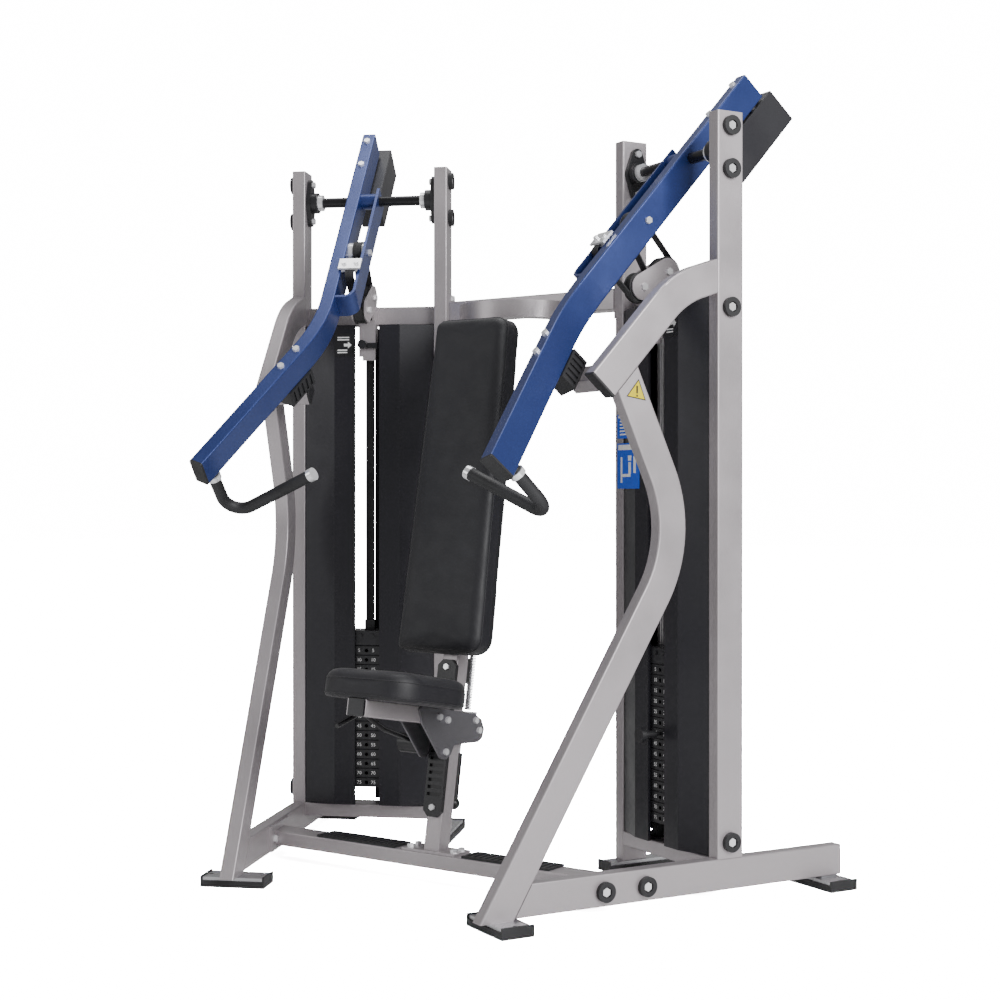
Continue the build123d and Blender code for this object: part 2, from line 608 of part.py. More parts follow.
# ------------------------------------------------------------------ pulleys and belt
def pulley(centre):
    with BuildPart() as w:
        with BuildSketch(Plane.YZ.offset(BELT_X - 15)):
            with Locations(centre):
                Circle(PULLEY_R + 5)
        extrude(amount=30)
        with BuildSketch(Plane.YZ.offset(BELT_X - BELT_W / 2 - 0.5)):
            with Locations(centre):
                Circle(PULLEY_R + 6)
                Circle(PULLEY_R, mode=Mode.SUBTRACT)
        extrude(amount=BELT_W + 1, mode=Mode.SUBTRACT)
        with BuildSketch(Plane.YZ.offset(BELT_X - 16)):
            with Locations(centre):
                Circle(AXLE_R + 0.35)
        extrude(amount=32, mode=Mode.SUBTRACT)
        for x0 in (BELT_X - 16, BELT_X + 11):
            with BuildSketch(Plane.YZ.offset(x0)):
                with Locations(centre):
                    with PolarLocations(21, 5):
                        Circle(6)
            extrude(amount=5, mode=Mode.SUBTRACT)
    return w.part


AXLE_R = 8.0
save_pair("pulley_front", pulley(FRONT_PULLEY))
save_pair("pulley_rear", pulley(REAR_PULLEY))


def cheek(x0):
    """Side plate of the pulley bracket, standing off the front of the upper beam."""
    with BuildPart() as c:
        with BuildSketch(Plane.YZ.offset(x0)):
            with Locations(FRONT_PULLEY, REAR_PULLEY):
                Circle(36)
            make_hull()
            with Locations((-28, (1500 + 1606) / 2)):
                Rectangle(56, 106)
        extrude(amount=5)
    return c.part


BRACKET_X0, BRACKET_X1 = BELT_X - 22, BELT_X + 17
knob_x, knob_z = 8.0, 1486.0
hanger = prism_yz([(-62, 1440), (-56, 1440), (-56, 1560), (-62, 1560)], -25, 25)
hanger -= rod((knob_x, -80, knob_z), (knob_x, 0, knob_z), 5.4)
hanger -= prism_yz([(-70, 1430), (0, 1430), (0, 1452), (-70, 1452)], 14, 40)
save("pulley_brackets", *both(cheek(BRACKET_X0), cheek(BRACKET_X1), hanger))

knob = rod((knob_x, -92, knob_z), (knob_x, -30, knob_z), 5) + \
    rod((knob_x, -100, knob_z), (knob_x, -76, knob_z), 13)
knob += box(-32, knob_x, -74, -66, knob_z - 10, knob_z + 6)
knob += rod((knob_x, -77, knob_z), (knob_x, -66, knob_z), 9)
save_pair("adjuster_knob", knob)


def run(c1, r1, s1, c2, r2, s2):
    """Straight belt run between two circles; s is +1 where the belt turns anticlockwise."""
    dy, dz = c2[0] - c1[0], c2[1] - c1[1]
    dist = math.hypot(dy, dz)
    a = math.atan2(dz, dy) - math.asin((s2 * r2 - s1 * r1) / dist)
    ny, nz = -math.sin(a), math.cos(a)
    return ((c1[0] - s1 * r1 * ny, c1[1] - s1 * r1 * nz), (c2[0] - s2 * r2 * ny, c2[1] - s2 * r2 * nz))


def arc_mid(c, r, a, b, turn):
    """Middle point of the belt's arc from a to b round c."""
    a0 = math.atan2(a[1] - c[1], a[0] - c[0])
    a1 = math.atan2(b[1] - c[1], b[0] - c[0])
    sweep_angle = (a1 - a0) * turn % (2 * math.pi)
    m = a0 + turn * sweep_angle / 2
    return (c[0] + r * math.cos(m), c[1] + r * math.sin(m))


HEADER_TOP = STACK_TOP + 45.0
belt_pr = PULLEY_R + BELT_T / 2
roll_r = ARM_ROLLER_R + BELT_T / 2
roll_c = arm_point(ARM_ROLLER_T, 0, ARM_N)[1:]
clamp_c = arm_point(CLAMP_T1 + 8, 0, BELT_N + 12)[1:]
stack_pt = (STEM_Y, HEADER_TOP + 30)
p2_in = (REAR_PULLEY[0] + belt_pr, REAR_PULLEY[1])
p2_out, roll_in = run(REAR_PULLEY, belt_pr, 1, roll_c, roll_r, 1)
roll_out, p1_in = run(roll_c, roll_r, 1, FRONT_PULLEY, belt_pr, -1)
p1_out, clamp_in = run(FRONT_PULLEY, belt_pr, -1, clamp_c, 12, -1)
clamp_out = arm_point(CLAMP_T1 + 8, 0, BELT_N)[1:]
belt_end = arm_point(CLAMP_T0, 0, BELT_N)[1:]


def flat(p):
    return (BELT_X, p[0], p[1])


with BuildLine() as belt_line:
    Line(flat(stack_pt), flat(p2_in))
    ThreePointArc(flat(p2_in), flat(arc_mid(REAR_PULLEY, belt_pr, p2_in, p2_out, 1)), flat(p2_out))
    Line(flat(p2_out), flat(roll_in))
    ThreePointArc(flat(roll_in), flat(arc_mid(roll_c, roll_r, roll_in, roll_out, 1)), flat(roll_out))
    Line(flat(roll_out), flat(p1_in))
    ThreePointArc(flat(p1_in), flat(arc_mid(FRONT_PULLEY, belt_pr, p1_in, p1_out, -1)), flat(p1_out))
    Line(flat(p1_out), flat(clamp_in))
    ThreePointArc(flat(clamp_in), flat(arc_mid(clamp_c, 12, clamp_in, clamp_out, -1)), flat(clamp_out))
    Line(flat(clamp_out), flat(belt_end))
belt_path = belt_line.wires()[0]
with BuildPart() as belt:
    with BuildSketch(Plane(origin=flat(stack_pt), x_dir=X_OUT, z_dir=(0, 0, 1))):
        Rectangle(BELT_W, BELT_T)
    sweep(path=belt_path)
save_pair("belt", belt.part)

# ------------------------------------------------------------------ weight stack
def plate_z(i):
    """Underside of plate i, counted from the top."""
    return STACK_TOP - PLATE_PITCH * (i + 1)


def weight_plate(z0, t):
    with BuildPart() as p:
        with Locations((0, (PLATE_Y0 + PLATE_Y1) / 2, z0 + t / 2)):
            Box(2 * PLATE_HALF_X, PLATE_Y1 - PLATE_Y0, t)
        chamfer(p.edges(), length=1.5)
        with BuildSketch(Plane.XY.offset(z0)):
            with Locations((-ROD_X, ROD_Y), (ROD_X, ROD_Y)):
                Circle(ROD_R + 0.6)
            with Locations((BELT_X, STEM_Y)):
                Circle(13)
        extrude(amount=t, mode=Mode.SUBTRACT)
        with BuildSketch(Plane.XZ.offset(-PLATE_Y0)):
            with Locations((BELT_X, z0 + t / 2)):
                Circle(5.6)
        extrude(amount=PLATE_Y0 - STEM_Y, mode=Mode.SUBTRACT)
    return p.part


plates = [weight_plate(plate_z(i), PLATE_T) for i in range(PLATES)]
header = box(-PLATE_HALF_X, PLATE_HALF_X, PLATE_Y0, PLATE_Y1, STACK_TOP, HEADER_TOP)
header = chamfer(header.edges(), length=2)
header += box(BELT_X - 15, BELT_X + 15, STEM_Y - 8, STEM_Y + 8, HEADER_TOP - 1, HEADER_TOP + 30)
for s in (1, -1):
    header -= rod((s * ROD_X, ROD_Y, STACK_TOP - 5), (s * ROD_X, ROD_Y, HEADER_TOP + 5), ROD_R + 0.6)
stem = rod((BELT_X, STEM_Y, plate_z(PLATES - 1) + 4), (BELT_X, STEM_Y, STACK_TOP), 12)
pin_z = plate_z(SELECTED - 1) + PLATE_T / 2
stem -= rod((BELT_X, STEM_Y - 40, pin_z), (BELT_X, STEM_Y + 40, pin_z), 5.6)
header_bolts = [hexagon((BELT_X + dx, PLATE_Y0, STACK_TOP + 30), (0, -1, 0), 11, 5) for dx in (-18, 18)]
save_pair("weights_lifted", *plates[:SELECTED], header, stem, *header_bolts)
buffers = [ring((s * ROD_X, ROD_Y, BEAM_Z1), (s * ROD_X, ROD_Y, plate_z(PLATES - 1)), 24, ROD_R)
           for s in (1, -1)]
save("weights_resting", *both(*plates[SELECTED:]))
pin = rod((BELT_X, PLATE_Y0 - 60, pin_z), (BELT_X, STEM_Y + 8, pin_z), 5)
pin += rod((BELT_X, PLATE_Y0 - 66, pin_z), (BELT_X, PLATE_Y0 - 16, pin_z), 10)
pin += rod((BELT_X, PLATE_Y0 - 68, pin_z), (BELT_X, PLATE_Y0 - 54, pin_z), 20)
save_pair("selector_pin", pin)
guide_rods = [rod((s * ROD_X, ROD_Y, BEAM_Z1), (s * ROD_X, ROD_Y, HEAD_Z0), ROD_R) for s in (1, -1)]
save("guide_rods", *both(*guide_rods))

# folded covers: each side wraps from the front window to the rear window
SLOT = 37.0
REAR_SLOT = {1: 70.0, -1: -5.0}     # edges of the rear opening, outward of the module centre
COVER_Z0, COVER_Z1 = BEAM_Z1 + 2, HEAD_Z0 - 3
covers = []
for s in (1, -1):
    half_cover = [(SLOT, -58), (SLOT, -66), (100, -66), (OUTER_IN - 1, -36), (OUTER_IN - 1, 38),
                  (100, 62), (REAR_SLOT[s], 62)]
    pts = [(s * x, y) for x, y in half_cover]
    if s < 0:
        pts = pts[::-1]
    covers.append(folded_sheet(pts, 2.0, COVER_Z0, COVER_Z1))
save_pair("shroud", *covers)

# ------------------------------------------------------------------ fasteners and trim
washers, bolts = [], []
outside = [(y, z, 1) for y, z in ((-381, 67), (-259, 67), (0, 151), (0, 1517), (0, SHAFT_Z - 55),
                                  (0, SHAFT_Z + 55))]
outside += [(0, SHAFT_Z - 55, -1), (0, SHAFT_Z + 55, -1)]
for y, z, s in outside:
    x = s * OUTER_FACE
    washers.append(ring((x, y, z), (x + s * 12, y, z), 25, 13))
    bolts.append(hexagon((x, y, z), (s, 0, 0), 20, 9))
for s in (1, -1):
    for dz in (-55, 55):
        bolts.append(hexagon((s * (OUTER_IN - 13), 0, SHAFT_Z + dz), (-s, 0, 0), 17, 8))
for z in (1543, 1626):
    bolts.append(hexagon((INNER_FACE - FLANGE_T, 0, z), (-1, 0, 0), 17, 8))
for y in (-381, -259):
    bolts.append(hexagon((OUTER_IN - FLANGE_T, y, 67), (-1, 0, 0), 17, 8))
for centre in (FRONT_PULLEY, REAR_PULLEY):
    bolts.append(rod((BRACKET_X0 + 5, *centre), (BRACKET_X1, *centre), AXLE_R))
    bolts.append(hexagon((BRACKET_X0, *centre), (-1, 0, 0), 17, 8))
    bolts.append(hexagon((BRACKET_X1 + 5, *centre), (1, 0, 0), 17, 8))
world_bolts = [hexagon((sx * 72, POST_FOOT[0] + sy, POST_FOOT[1]), (0, 0, 1), 17, 8)
               for sx in (1, -1) for sy in (-18, 16)]
world_bolts += [on_post(hexagon((0, -POST_W / 2 - 12, a), (0, -1, 0), 15, 6))
                for a in (RACK_A0 + 25, RACK_A1 - 20)]
save("frame_bolts", *both(*bolts), *world_bolts)
save("rubber_trim", *both(*washers, *buffers, brace_cap, stub_cap))


triangle = prism_yz([(-282, 1324), (-318, 1280), (-261, 1271)], OUTER_FACE, OUTER_FACE + 0.8)
label = box(42, 98, -67.2, -66, 1452, 1522)
signs = both(triangle, label)
signs += [placed(box(-178, -70, -68.5, -66, z0, z1), 1) for z0, z1 in ((1058, 1187), (1198, 1296))]
save("placards", *signs)

print(len(ALL), "nodes,", sum(n for _, n in ALL), "solids")
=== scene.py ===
"""Look of the shoulder press machine: finishes, cushions, belts, plate numbers, placards and studio."""

import json
import math

import bmesh
import bpy
from mathutils import Matrix, Vector
from mathutils.bvhtree import BVHTree
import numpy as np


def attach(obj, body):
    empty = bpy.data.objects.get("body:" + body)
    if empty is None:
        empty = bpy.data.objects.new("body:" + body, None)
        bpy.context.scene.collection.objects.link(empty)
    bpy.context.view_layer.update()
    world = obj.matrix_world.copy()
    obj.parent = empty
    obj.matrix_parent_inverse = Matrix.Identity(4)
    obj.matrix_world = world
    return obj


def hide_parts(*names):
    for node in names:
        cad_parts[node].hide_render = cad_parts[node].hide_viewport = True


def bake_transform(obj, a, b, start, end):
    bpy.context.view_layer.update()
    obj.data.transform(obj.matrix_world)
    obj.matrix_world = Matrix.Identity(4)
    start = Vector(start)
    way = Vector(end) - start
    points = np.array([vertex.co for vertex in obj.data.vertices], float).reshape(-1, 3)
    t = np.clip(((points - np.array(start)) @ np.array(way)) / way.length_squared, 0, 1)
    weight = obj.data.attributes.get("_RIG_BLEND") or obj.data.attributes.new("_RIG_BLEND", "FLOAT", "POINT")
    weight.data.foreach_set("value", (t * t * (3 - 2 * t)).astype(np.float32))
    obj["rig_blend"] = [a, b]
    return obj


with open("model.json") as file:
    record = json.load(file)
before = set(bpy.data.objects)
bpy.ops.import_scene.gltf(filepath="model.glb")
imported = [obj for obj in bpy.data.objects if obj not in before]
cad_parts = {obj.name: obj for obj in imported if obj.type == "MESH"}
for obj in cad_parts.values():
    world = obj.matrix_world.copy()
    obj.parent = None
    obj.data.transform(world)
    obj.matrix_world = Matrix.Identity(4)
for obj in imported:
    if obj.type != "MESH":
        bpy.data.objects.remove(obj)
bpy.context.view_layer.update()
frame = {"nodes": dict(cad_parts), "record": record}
NODES = frame["nodes"]

# ------------------------------------------------------------------ module frame
YAW = math.radians(25.67)
C, S = math.cos(YAW), math.sin(YAW)
MODULE_X, SHIFT_Y = 0.524, 0.24869
BELT_X = 0.004              # module plane of belt, pulleys and plate holes
SIDES = (("right", 1), ("left", -1))


def module(p, side):
    """Module point (x outward, y back, z up) in the row frame."""
    x, y, z = p
    return Vector((side * (MODULE_X + x * C + y * S), SHIFT_Y - x * S + y * C, z))


def module_dir(d, side):
    x, y, z = d
    return Vector((side * (x * C + y * S), -x * S + y * C, z))


def link(name, mesh):
    o = bpy.data.objects.new(name, mesh)
    bpy.context.scene.collection.objects.link(o)
    return o


# ------------------------------------------------------------------ materials
class Graph:
    """A Principled material whose inputs are wired from small procedural parts."""

    def __init__(self, name, color, rough, metallic=0.0, **inputs):
        self.mat = bpy.data.materials.new(name)
        self.mat.use_nodes = True
        self.tree = self.mat.node_tree
        self.bsdf = self.tree.nodes["Principled BSDF"]
        self.space = self.add("ShaderNodeTexCoord").outputs["Object"]
        self.put(self.bsdf, "Base Color", (*color, 1))
        self.put(self.bsdf, "Roughness", rough)
        self.put(self.bsdf, "Metallic", metallic)
        for key, value in inputs.items():
            self.put(self.bsdf, key.replace("_", " "), value)
        self.color = color
        self.normal = None
        self.mat.diffuse_color = (*color, 1)

    def put(self, node, key, value):
        socket = node.inputs[key]
        if isinstance(value, bpy.types.NodeSocket):
            self.tree.links.new(value, socket)
        else:
            socket.default_value = value

    def add(self, kind, props=None, **inputs):
        node = self.tree.nodes.new(kind)
        for key, value in (props or {}).items():
            setattr(node, key, value)
        for key, value in inputs.items():
            self.put(node, key.replace("_", " "), value)
        return node

    def stretched(self, scale):
        return self.add("ShaderNodeMapping", Vector=self.space, Scale=scale).outputs["Vector"]

    def noise(self, scale, detail=3.0, vector=None):
        return self.add("ShaderNodeTexNoise", Vector=vector or self.space, Scale=scale,
                        Detail=detail).outputs["Fac"]

    def cells(self, scale, feature="F1"):
        node = self.add("ShaderNodeTexVoronoi", {"feature": feature}, Vector=self.space, Scale=scale)
        return node.outputs["Distance"]

    def remap(self, value, a, b, lo=0.35, hi=0.65):
        return self.add("ShaderNodeMapRange", Value=value, From_Min=lo, From_Max=hi,
                        To_Min=a, To_Max=b).outputs["Result"]

    def tint(self, value, light, dark):
        """Base colour runs from dark to light shares of itself with value."""
        ramp = self.add("ShaderNodeValToRGB", Fac=value)
        c = self.color
        ramp.color_ramp.elements[0].position, ramp.color_ramp.elements[1].position = 0.35, 0.65
        ramp.color_ramp.elements[0].color = (*[v * dark for v in c], 1)
        ramp.color_ramp.elements[1].color = (*[min(1, v * light) for v in c], 1)
        self.put(self.bsdf, "Base Color", ramp.outputs["Color"])
        return ramp.outputs["Color"]

    def gloss(self, value, a, b):
        self.put(self.bsdf, "Roughness", self.remap(value, a, b))

    def bump(self, height, strength, distance):
        node = self.add("ShaderNodeBump", Height=height, Strength=strength, Distance=distance)
        if self.normal:
            self.put(node, "Normal", self.normal)
        self.normal = node.outputs["Normal"]
        self.put(self.bsdf, "Normal", self.normal)


def powder_coat(name, color, rough, metallic, flake=1.25, coat=0.15):
    """Sprayed metallic coat: fine flake, orange peel and faint handling marks."""
    g = Graph(name, color, rough, metallic, Coat_Weight=coat, Coat_Roughness=0.25)
    g.tint(g.noise(1500, 2), flake, 2 - flake)
    g.gloss(g.noise(7, 5), rough - 0.05, rough + 0.07)
    g.bump(g.noise(420, 2), 0.12, 0.0006)
    g.bump(g.noise(2600, 1), 0.08, 0.0002)
    return g.mat


def metal(name, color, rough, brushed=(1, 1, 60), scratch=0.04, metallic=0.9):
    """Plated or machined steel with fine drawn lines and smudges."""
    g = Graph(name, color, rough, metallic)
    lines = g.noise(60, 4, g.stretched(brushed))
    g.tint(lines, 1.05, 0.9)
    g.gloss(g.noise(25, 4), max(0.02, rough - 0.04), rough + 0.08)
    g.bump(lines, scratch, 0.0003)
    return g.mat


def moulded(name, color, rough, grain=900, depth=0.12, **inputs):
    """Rubber or nylon with a fine moulded grain and duller patches."""
    g = Graph(name, color, rough, **inputs)
    g.tint(g.noise(18, 4), 1.25, 0.8)
    g.gloss(g.noise(11, 5), rough - 0.07, rough + 0.1)
    g.bump(g.noise(grain, 3), depth, 0.0005)
    return g.mat


def upholstery(name, color):
    """Vinyl with a pebbled grain, a soft sheen and slight scuffing."""
    g = Graph(name, color, 0.5, Sheen_Weight=0.08, Sheen_Roughness=0.45)
    g.tint(g.noise(30, 3), 1.06, 0.95)
    g.gloss(g.noise(22, 3), 0.53, 0.60)
    g.bump(g.cells(520), 0.22, 0.0006)
    g.bump(g.noise(60, 4), 0.06, 0.0008)
    return g.mat


def webbing(name, color):
    """Flat belt with the weave showing through its cover."""
    g = Graph(name, color, 0.55)
    wave = g.add("ShaderNodeTexWave", {"bands_direction": "Z"}, Vector=g.space, Scale=180, Distortion=1.2)
    g.tint(g.noise(40, 3), 1.3, 0.8)
    g.gloss(g.noise(15, 4), 0.46, 0.66)
    g.bump(wave.outputs["Fac"], 0.25, 0.0006)
    return g.mat


def printed(name, color, rough=0.32):
    """Printed plastic film with a faint texture."""
    g = Graph(name, color, rough)
    g.tint(g.noise(120, 3), 1.04, 0.95)
    g.gloss(g.noise(30, 3), rough - 0.05, rough + 0.08)
    g.bump(g.noise(700, 2), 0.05, 0.0002)
    return g.mat


FINISH = {
    "frame_paint": powder_coat("frame_paint", (0.42, 0.39, 0.405), 0.38, 0.55, 1.12),
    "arm_paint": powder_coat("arm_paint", (0.019, 0.040, 0.175), 0.34, 0.5, 1.35, 0.35),
    "dark_paint": powder_coat("dark_paint", (0.016, 0.0155, 0.020), 0.42, 0.2, 1.3),
    "cover_grey": powder_coat("cover_grey", (0.0085, 0.0077, 0.0128), 0.46, 0.15, 1.3),
    "carriage_grey": powder_coat("carriage_grey", (0.15, 0.145, 0.16), 0.34, 0.6, 1.25, 0.25),
    "plate_iron": powder_coat("plate_iron", (0.014, 0.014, 0.017), 0.42, 0.1, 1.4),
    "black_metal": powder_coat("black_metal", (0.014, 0.014, 0.016), 0.38, 0.2, 1.3),
    "chrome": metal("chrome", (0.92, 0.92, 0.94), 0.12, metallic=0.5),
    "steel": metal("steel", (0.52, 0.52, 0.54), 0.28, (1, 60, 60), 0.1),
    "rubber": moulded("rubber", (0.012, 0.012, 0.014), 0.55),
    "black_plastic": moulded("black_plastic", (0.012, 0.012, 0.014), 0.38, 1500, 0.08),
    "vinyl": upholstery("vinyl", (0.0058, 0.0055, 0.0086)),
    "belt": webbing("belt", (0.016, 0.016, 0.018)),
    "print_black": printed("print_black", (0.010, 0.010, 0.012)),
    "print_white": printed("print_white", (0.80, 0.80, 0.80)),
    "print_yellow": printed("print_yellow", (0.62, 0.50, 0.0)),
    "print_blue": printed("print_blue", (0.010, 0.090, 0.60)),
}
BLACK_SHAFT = powder_coat("shaft_black", (0.016, 0.016, 0.018), 0.3, 0.6, 1.2)

for part in frame["record"]["subparts"]:
    node = NODES[part["node"]]
    finish = FINISH.get(part["material_slot"], FINISH["print_blue"])
    if part["node"].startswith("shaft"):
        finish = BLACK_SHAFT
    node.data.materials.clear()
    node.data.materials.append(finish)


# ------------------------------------------------------------------ cushions
TILT = math.radians(10)
POST_O = Vector((0, SHIFT_Y - 0.3045, 0.470))
POST_X = Vector((1, 0, 0))
POST_Y = Vector((0, math.cos(TILT), -math.sin(TILT)))
POST_A = Vector((0, math.sin(TILT), math.cos(TILT)))
VOXEL = 0.0055              # cushion mesh spacing
BOARD = 0.016               # depth of cushion that is held by its board
SIM_END = 20                # last frame of the inflation
SEAT_MIDDLE = -0.247        # post y of the middle of the seat
BACK_LOW, BACK_HIGH = 0.27, 0.92    # ends of the backrest's middle line, along the post


def post(x, y, a):
    return POST_O + POST_X * x + POST_Y * y + POST_A * a


def evaluated_mesh(obj):
    bpy.context.view_layer.update()
    graph = bpy.context.evaluated_depsgraph_get()
    return bpy.data.meshes.new_from_object(obj.evaluated_get(graph))


def cushion(node, name, out, body, cap, wider, longer):
    """Padded piece in the CAD solid's shape, inflated off the board that its underside is fixed to.

    No point moves more than cap; wider and longer stretch the result across and along the post.
    """
    obj = link(name, NODES[node].data.copy())
    remesh = obj.modifiers.new("even", "REMESH")
    remesh.mode, remesh.voxel_size, remesh.use_smooth_shade = "VOXEL", VOXEL, True
    mesh = evaluated_mesh(obj)
    obj.modifiers.clear()
    obj.data = mesh
    heights = [v.co.dot(out) for v in mesh.vertices]
    floor = min(heights)
    rest = [v.co.copy() for v in mesh.vertices]
    group = obj.vertex_groups.new(name="board")
    group.add([i for i, h in enumerate(heights) if h < floor + BOARD], 1.0, "REPLACE")
    cloth = obj.modifiers.new("cloth", "CLOTH")
    s = cloth.settings
    s.quality, s.mass = 6, 0.35
    s.tension_stiffness = s.compression_stiffness = 40
    s.shear_stiffness, s.bending_stiffness = 12, 6
    s.use_pressure, s.uniform_pressure_force = True, 4.0
    s.effector_weights.gravity = 0
    s.vertex_group_mass = "board"
    cloth.point_cache.frame_start, cloth.point_cache.frame_end = 1, SIM_END
    for f in range(1, SIM_END + 1):
        bpy.context.scene.frame_set(f)
    mesh = evaluated_mesh(obj)
    obj.modifiers.clear()
    obj.vertex_groups.clear()
    obj.data = mesh
    bpy.context.scene.frame_set(1)
    for v, at in zip(mesh.vertices, rest):
        d = v.co - at
        if d.length > cap:
            v.co = at + d.normalized() * cap
    middle = sum((v.co for v in obj.data.vertices), Vector()) / len(obj.data.vertices)
    for v in obj.data.vertices:
        d = v.co - middle
        v.co += POST_X * d.dot(POST_X) * wider + POST_A * d.dot(POST_A) * longer
    for p in obj.data.polygons:
        p.use_smooth = True
    even = obj.modifiers.new("taut", "SMOOTH")
    even.factor, even.iterations = 0.5, 16
    sub = obj.modifiers.new("smooth", "SUBSURF")
    sub.levels = sub.render_levels = 1
    obj.data.materials.clear()
    obj.data.materials.append(FINISH["vinyl"])
    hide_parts(node)
    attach(obj, body)
    return obj


def seam(name, obj, ring, centre, body, lift=0.0002):
    """Welt laid on the cushion where rays from the ring toward the centre meet it."""
    graph = bpy.context.evaluated_depsgraph_get()
    tree = BVHTree.FromObject(obj, graph)
    points = []
    for p in ring:
        d = (centre(p) - p).normalized()
        hit = tree.ray_cast(p, d)
        if hit[0]:
            points.append(hit[0] - d * lift)
    curve = bpy.data.curves.new(name, "CURVE")
    curve.dimensions, curve.bevel_depth, curve.bevel_resolution = "3D", 0.0016, 2
    spline = curve.splines.new("POLY")
    spline.points.add(len(points) - 1)
    for sp, p in zip(spline.points, points):
        sp.co = (*p, 1)
    spline.use_cyclic_u = True
    o = link(name, curve)
    o.data.materials.append(FINISH["vinyl"])
    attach(o, body)


seat = cushion("seat_pad", "seat_cushion", POST_A, "seat", 0.0035, 0.01, 0.02)
back = cushion("backrest", "back_cushion", -POST_Y, "frame", 0.0035, 0.038, 0.010)
bpy.context.view_layer.update()


def seat_ring(a, radius=0.3, count=220):
    """Level circle round the seat, well outside it."""
    turns = [2 * math.pi * i / count for i in range(count)]
    return [post(radius * math.cos(t), SEAT_MIDDLE + radius * math.sin(t), a) for t in turns]


def seat_axis(a):
    return lambda p: post(0, SEAT_MIDDLE, a)


for name, a in (("seat_welt", 0.036), ("seat_welt_low", -0.004)):
    seam(name, seat, seat_ring(a), seat_axis(a), "seat")


def axis_point(y):
    """Nearest point of the backrest's middle line, so the rays meet its long sides square on."""
    def nearest(p):
        a = (p - POST_O).dot(POST_A)
        return post(0, y, min(max(a, BACK_LOW), BACK_HIGH))
    return nearest


def around(y, radius=0.25):
    """Closed loop round the backrest outline, well outside it."""
    loop = []
    for side, start, end in ((1, BACK_LOW, BACK_HIGH), (-1, BACK_HIGH, BACK_LOW)):
        for i in range(90):
            loop.append(post(side * radius, y, start + (end - start) * i / 89))
        for i in range(60):
            t = math.pi * i / 59 + (0 if side > 0 else math.pi)
            loop.append(post(radius * math.cos(t), y, end + radius * math.sin(t)))
    return loop


for n, y in enumerate((-0.080, -0.038)):
    seam("back_welt_%d" % n, back, around(y), axis_point(y), "frame")


# ------------------------------------------------------------------ belts
ARM_SLOPE, SHAFT_Z = math.radians(48.6), 1.925


def arm_yz(t, n):
    """Module y and z of a point t down the arm, and n to the rear of the line through the shaft."""
    sin, cos = math.sin(ARM_SLOPE), math.cos(ARM_SLOPE)
    return (-cos * t + sin * n, SHAFT_Z - sin * t - cos * n)


def tangent(c1, r1, s1, c2, r2, s2):
    """Ends of the free run between two circles; s is 1 where the belt turns anticlockwise."""
    dy, dz = c2[0] - c1[0], c2[1] - c1[1]
    dist = math.hypot(dy, dz)
    a = math.atan2(dz, dy) - math.asin((s2 * r2 - s1 * r1) / dist)
    ny, nz = -math.sin(a), math.cos(a)
    return ((c1[0] - s1 * r1 * ny, c1[1] - s1 * r1 * nz), (c2[0] - s2 * r2 * ny, c2[1] - s2 * r2 * nz))


def arc(c, r, a, b, turn, steps=20):
    """Points of the belt wrapped round c from a to b."""
    a0, a1 = math.atan2(a[1] - c[1], a[0] - c[0]), math.atan2(b[1] - c[1], b[0] - c[0])
    sweep = (a1 - a0) * turn % (2 * math.pi)
    angles = [a0 + turn * sweep * i / steps for i in range(steps + 1)]
    return [(c[0] + r * math.cos(t), c[1] + r * math.sin(t)) for t in angles]


def straight(a, b):
    """Only the two ends, so a free run stays straight whatever its ends follow."""
    return [a, b]


P1, P2, PR = (-0.122, 1.584), (-0.0435, 1.629), 0.0375     # front and rear pulley, belt radius
ROLL, RR = arm_yz(0.224, 0.010), 0.0315                     # roller inside the arm
GRIP, GR = arm_yz(0.355, -0.020), 0.012                     # bend into the clamp
p2_in = (P2[0] + PR, P2[1])
p2_out, roll_in = tangent(P2, PR, 1, ROLL, RR, 1)
roll_out, p1_in = tangent(ROLL, RR, 1, P1, PR, -1)
p1_out, grip_in = tangent(P1, PR, -1, GRIP, GR, -1)
grip_out, belt_end = arm_yz(0.355, -0.032), arm_yz(0.305, -0.032)
# each stretch of the belt with the shares of its two ends that follow the arm
STRETCHES = (
    (arc(P2, PR, p2_in, p2_out, 1), 0, 0),
    (straight(p2_out, roll_in), 0, 1),
    (arc(ROLL, RR, roll_in, roll_out, 1), 1, 1),
    (straight(roll_out, p1_in), 1, 0),
    (arc(P1, PR, p1_in, p1_out, -1), 0, 0),
    (straight(p1_out, grip_in), 0, 1),
    (arc(GRIP, GR, grip_in, grip_out, -1, 8), 1, 1),
    (straight(grip_out, belt_end), 1, 1),
)
ARM_RUN = []
for pts, w0, w1 in STRETCHES:
    for i, p in enumerate(pts):
        if i or not ARM_RUN:
            ARM_RUN.append((*p, w0 + (w1 - w0) * i / (len(pts) - 1)))
STACK_RUN = [(-0.006, 0.662, 1), (*p2_in, 0)]


